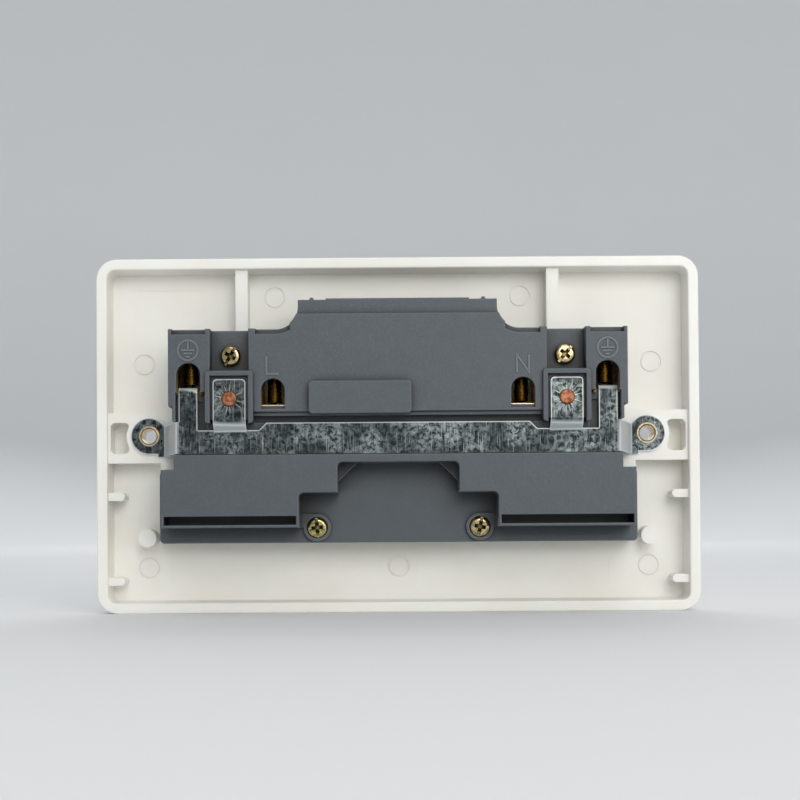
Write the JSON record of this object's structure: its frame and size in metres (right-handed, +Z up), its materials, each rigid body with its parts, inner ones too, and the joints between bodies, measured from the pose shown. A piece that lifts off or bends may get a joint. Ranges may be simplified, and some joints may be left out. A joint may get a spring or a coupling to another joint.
{
  "type": "double wall socket",
  "caption": "Two-gang switched wall socket with a rimmed white plate, grey rear housing, galvanised earth strap, screw terminals, rocker switches and sprung shutters.",
  "frame": {"origin": "centre of the plate, on the plane of the rim's back face, which meets the wall", "axes": "+X to the right as seen from behind, +Y out of the wall into the room, +Z up"},
  "size_m": [0.146, 0.0297, 0.086],
  "materials": {
    "white_plastic": "moulded, satin",
    "grey_plastic": "moulded, fine texture",
    "inner_plastic": "moulded nylon",
    "galvanised_steel": "galvanised, spangled",
    "brass": "stamped",
    "copper": "upset rivet",
    "passivated_steel": "yellow passivated",
    "spring_steel": "drawn wire",
    "silver": "contact silver"
  },
  "bodies": {
    "case": {"faceplate": "white_plastic", "rear_housing": "grey_plastic", "earth_strap": "galvanised_steel", "fixing_eyelets": "brass", "earth_rivets": "copper", "live_terminal": "brass", "neutral_terminal": "brass", "earth_terminal_left": "brass", "earth_terminal_right": "brass", "terminal_screws": "brass", "case_screws": "passivated_steel", "live_busbar": "brass", "neutral_busbar": "brass", "fixed_contact_tips": "silver", "earth_contact_left": "brass", "live_contact_left": "brass", "shutter_spring_left": "spring_steel", "earth_contact_right": "brass", "live_contact_right": "brass", "shutter_spring_right": "spring_steel"},
    "left_switch": {"rocker_left": "white_plastic", "plunger_left": "inner_plastic", "plunger_spring_left": "spring_steel"},
    "left_contact_plate": {"moving_contact_left": "brass"},
    "left_shutter": {"shutter_left": "inner_plastic"},
    "right_switch": {"rocker_right": "white_plastic", "plunger_right": "inner_plastic", "plunger_spring_right": "spring_steel"},
    "right_contact_plate": {"moving_contact_right": "brass"},
    "right_shutter": {"shutter_right": "inner_plastic"}
  },
  "joints": [
    {"name": "left_rocker_tip", "type": "hinge", "parent": "case", "child": "left_switch", "pos_m": [-0.0105, 0.0059, 0.0175], "axis": [-1, 0, 0], "range_deg": [0, 14]},
    {"name": "left_contact_tip", "type": "hinge", "parent": "case", "child": "left_contact_plate", "pos_m": [-0.0105, -0.0024, 0.0175], "axis": [-1, 0, 0], "range_deg": [-14, 0]},
    {"name": "left_shutter_slide", "type": "slide", "parent": "case", "child": "left_shutter", "axis": [0, 0, -1], "range_m": [0, 0.0055], "stiffness_N_per_m": 200, "springref_m": -0.003, "deforming": ["shutter_spring_left"]},
    {"name": "right_rocker_tip", "type": "hinge", "parent": "case", "child": "right_switch", "pos_m": [0.0105, 0.0059, 0.0175], "axis": [-1, 0, 0], "range_deg": [0, 14]},
    {"name": "right_contact_tip", "type": "hinge", "parent": "case", "child": "right_contact_plate", "pos_m": [0.0105, -0.0024, 0.0175], "axis": [-1, 0, 0], "range_deg": [-14, 0]},
    {"name": "right_shutter_slide", "type": "slide", "parent": "case", "child": "right_shutter", "axis": [0, 0, -1], "range_m": [0, 0.0055], "stiffness_N_per_m": 200, "springref_m": -0.003, "deforming": ["shutter_spring_right"]}
  ],
  "couplings": [
    {"joint": "left_contact_tip", "follows": "left_rocker_tip", "ratio": -1},
    {"joint": "right_contact_tip", "follows": "right_rocker_tip", "ratio": -1}
  ]
}
